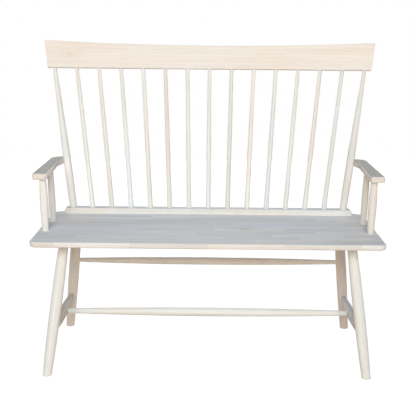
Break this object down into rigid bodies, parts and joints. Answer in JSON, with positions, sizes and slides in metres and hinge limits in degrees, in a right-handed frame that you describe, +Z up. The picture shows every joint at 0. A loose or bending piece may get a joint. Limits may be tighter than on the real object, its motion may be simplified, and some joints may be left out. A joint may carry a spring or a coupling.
{
  "type": "spindle-back bench",
  "caption": "Long raw-wood bench with a raked spindle back, flat arms on turned posts, and splayed turned legs joined by stretchers.",
  "frame": {"origin": "on the floor, below the middle of the bench's overall box", "axes": "+X along the seat, to the right as seen from the front; the front faces -Y; +Z up"},
  "size_m": [1.1844, 0.5603, 1.0495],
  "materials": {
    "wood": "raw, sanded",
    "steel": "zinc plated"
  },
  "bodies": {
    "root": {"arm_dowels": "wood", "arm_left": "wood", "arm_post_front_left": "wood", "arm_post_front_right": "wood", "arm_post_rear_left": "wood", "arm_post_rear_right": "wood", "arm_right": "wood", "back_post_left": "wood", "back_post_right": "wood", "back_riser": "wood", "crest_rail": "wood", "leg_front_left": "wood", "leg_front_right": "wood", "leg_rear_left": "wood", "leg_rear_right": "wood", "medial_stretcher": "wood", "rear_stretcher": "wood", "riser_screws": "steel", "seat": "wood", "side_stretcher_left": "wood", "side_stretcher_right": "wood", "spindle_01": "wood", "spindle_02": "wood", "spindle_03": "wood", "spindle_04": "wood", "spindle_05": "wood", "spindle_06": "wood", "spindle_07": "wood", "spindle_08": "wood", "spindle_09": "wood", "spindle_10": "wood", "spindle_11": "wood", "spindle_12": "wood", "spindle_13": "wood"}
  },
  "joints": []
}
